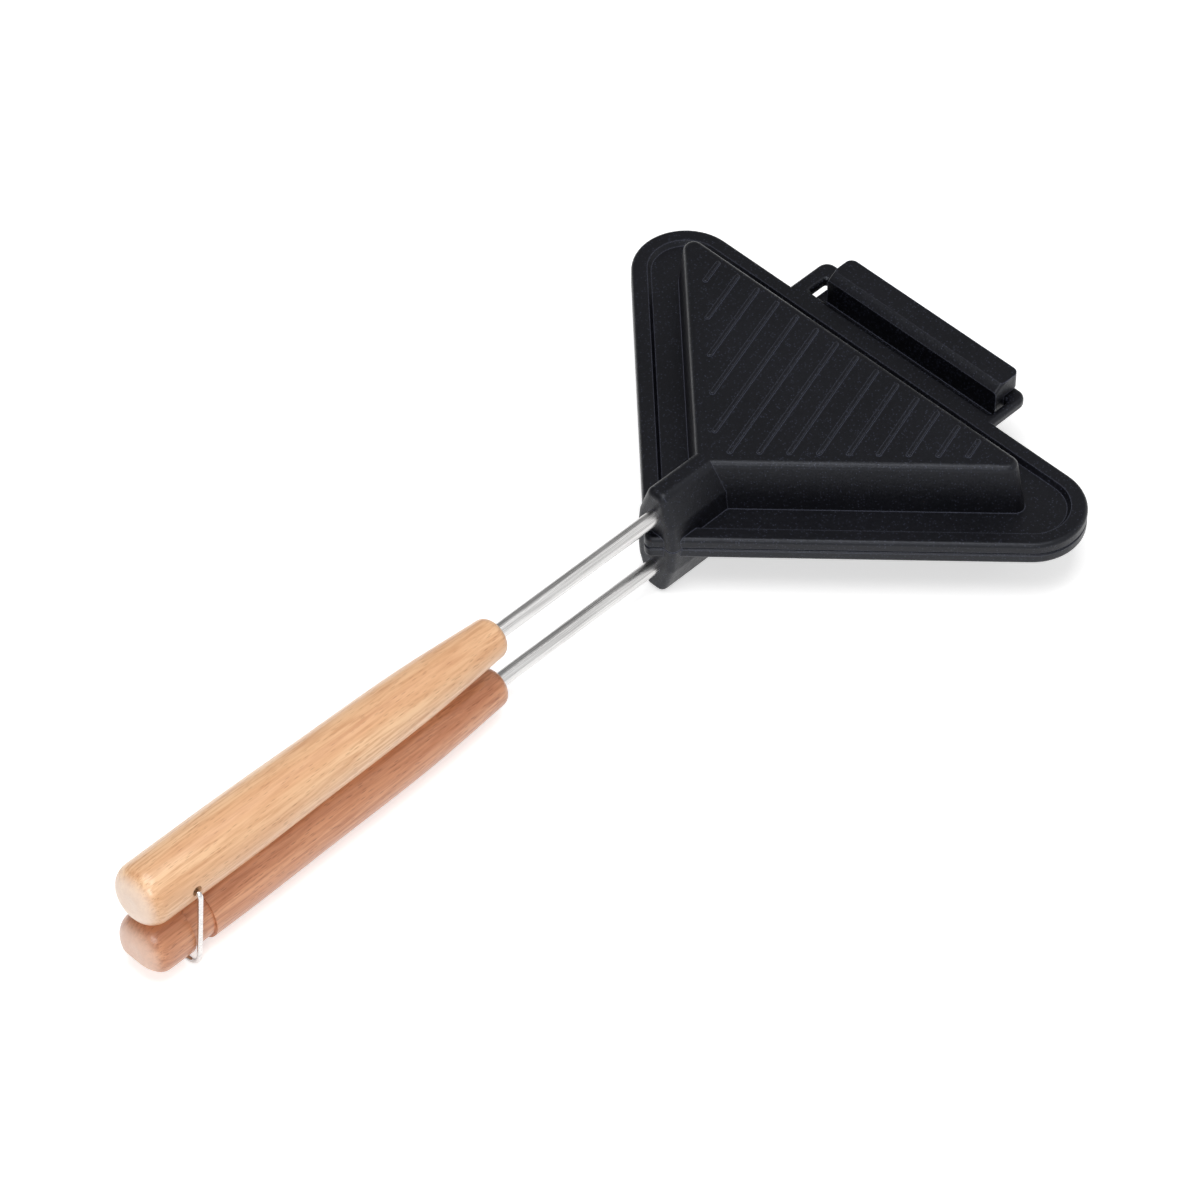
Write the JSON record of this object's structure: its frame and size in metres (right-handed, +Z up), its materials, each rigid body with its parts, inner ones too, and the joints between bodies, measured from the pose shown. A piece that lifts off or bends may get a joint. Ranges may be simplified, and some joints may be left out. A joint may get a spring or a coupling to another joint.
{
  "type": "stovetop sandwich maker",
  "caption": "Hinged stovetop sandwich maker: ribbed triangular cast pans on steel rods with turned beech handles, closed by a wire bail.",
  "frame": {"origin": "centre of the bounding box's bottom, on the surface that the closed sandwich maker lies on", "axes": "+X runs along the handles towards the hinge at the pans' long side, +Y runs across the pans, +Z is up with the pan that carries the hook below"},
  "size_m": [0.4032, 0.2168, 0.0514],
  "materials": {
    "coated_casting": "black non-stick coating with a fine sparkling texture",
    "bright_steel": "drawn bright rod",
    "bail_wire": "bright plated spring wire",
    "light_beech": "satin lacquered beech",
    "red_beech": "satin lacquered steamed beech"
  },
  "bodies": {
    "lower_half": {"lower_pan": "coated_casting", "lower_rod": "bright_steel", "lower_rod_pin": "bright_steel", "lower_handle": "red_beech"},
    "upper_half": {"upper_pan": "coated_casting", "upper_rod": "bright_steel", "upper_rod_pin": "bright_steel", "upper_handle": "light_beech"},
    "latch": {"latch_wire": "bail_wire"}
  },
  "joints": [
    {"name": "pan_hinge", "type": "hinge", "parent": "lower_half", "child": "upper_half", "pos_m": [0.1977, 0, 0.02825], "axis": [0, 1, 0], "range_deg": [0, 100]},
    {"name": "latch_swing", "type": "hinge", "parent": "upper_half", "child": "latch", "pos_m": [-0.181, 0, 0.03775], "axis": [0, 1, 0], "range_deg": [-4.5, 235.5]}
  ]
}
